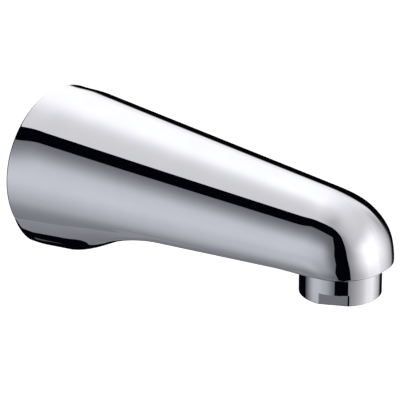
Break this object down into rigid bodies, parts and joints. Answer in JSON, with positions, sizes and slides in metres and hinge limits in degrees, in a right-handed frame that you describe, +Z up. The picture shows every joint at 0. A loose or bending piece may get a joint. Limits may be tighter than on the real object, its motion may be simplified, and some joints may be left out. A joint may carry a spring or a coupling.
{
  "type": "bath spout",
  "caption": "Wall-mounted bath spout: a polished chrome cone with a flat underside and a round boss at the wall, turned down at its end over a screwed-in aerator.",
  "frame": {"origin": "middle of the base circle, on the wall plane", "axes": "+X leaves the wall along the spout, +Z up, symmetric about the XZ plane"},
  "size_m": [0.1676, 0.0618, 0.0618],
  "materials": {
    "polished_chrome": "polished",
    "bare_brass": "machined",
    "black_rubber": "matte",
    "screw_steel": "satin",
    "screen_steel": "satin",
    "white_plastic": "moulded",
    "grey_plastic": "moulded"
  },
  "bodies": {
    "root": {"spout_body": "polished_chrome", "inlet_nipple": "bare_brass", "nipple_o_ring_rear": "black_rubber", "nipple_o_ring_front": "black_rubber", "grub_screw": "screw_steel", "wall_seal": "black_rubber", "aerator_housing": "polished_chrome", "aerator_washer": "black_rubber", "aerator_strainer": "grey_plastic", "jet_disc": "grey_plastic", "aerator_cage": "white_plastic", "mesh_screen_upper": "screen_steel", "mesh_screen_lower": "screen_steel", "outlet_grid": "white_plastic"}
  },
  "joints": []
}
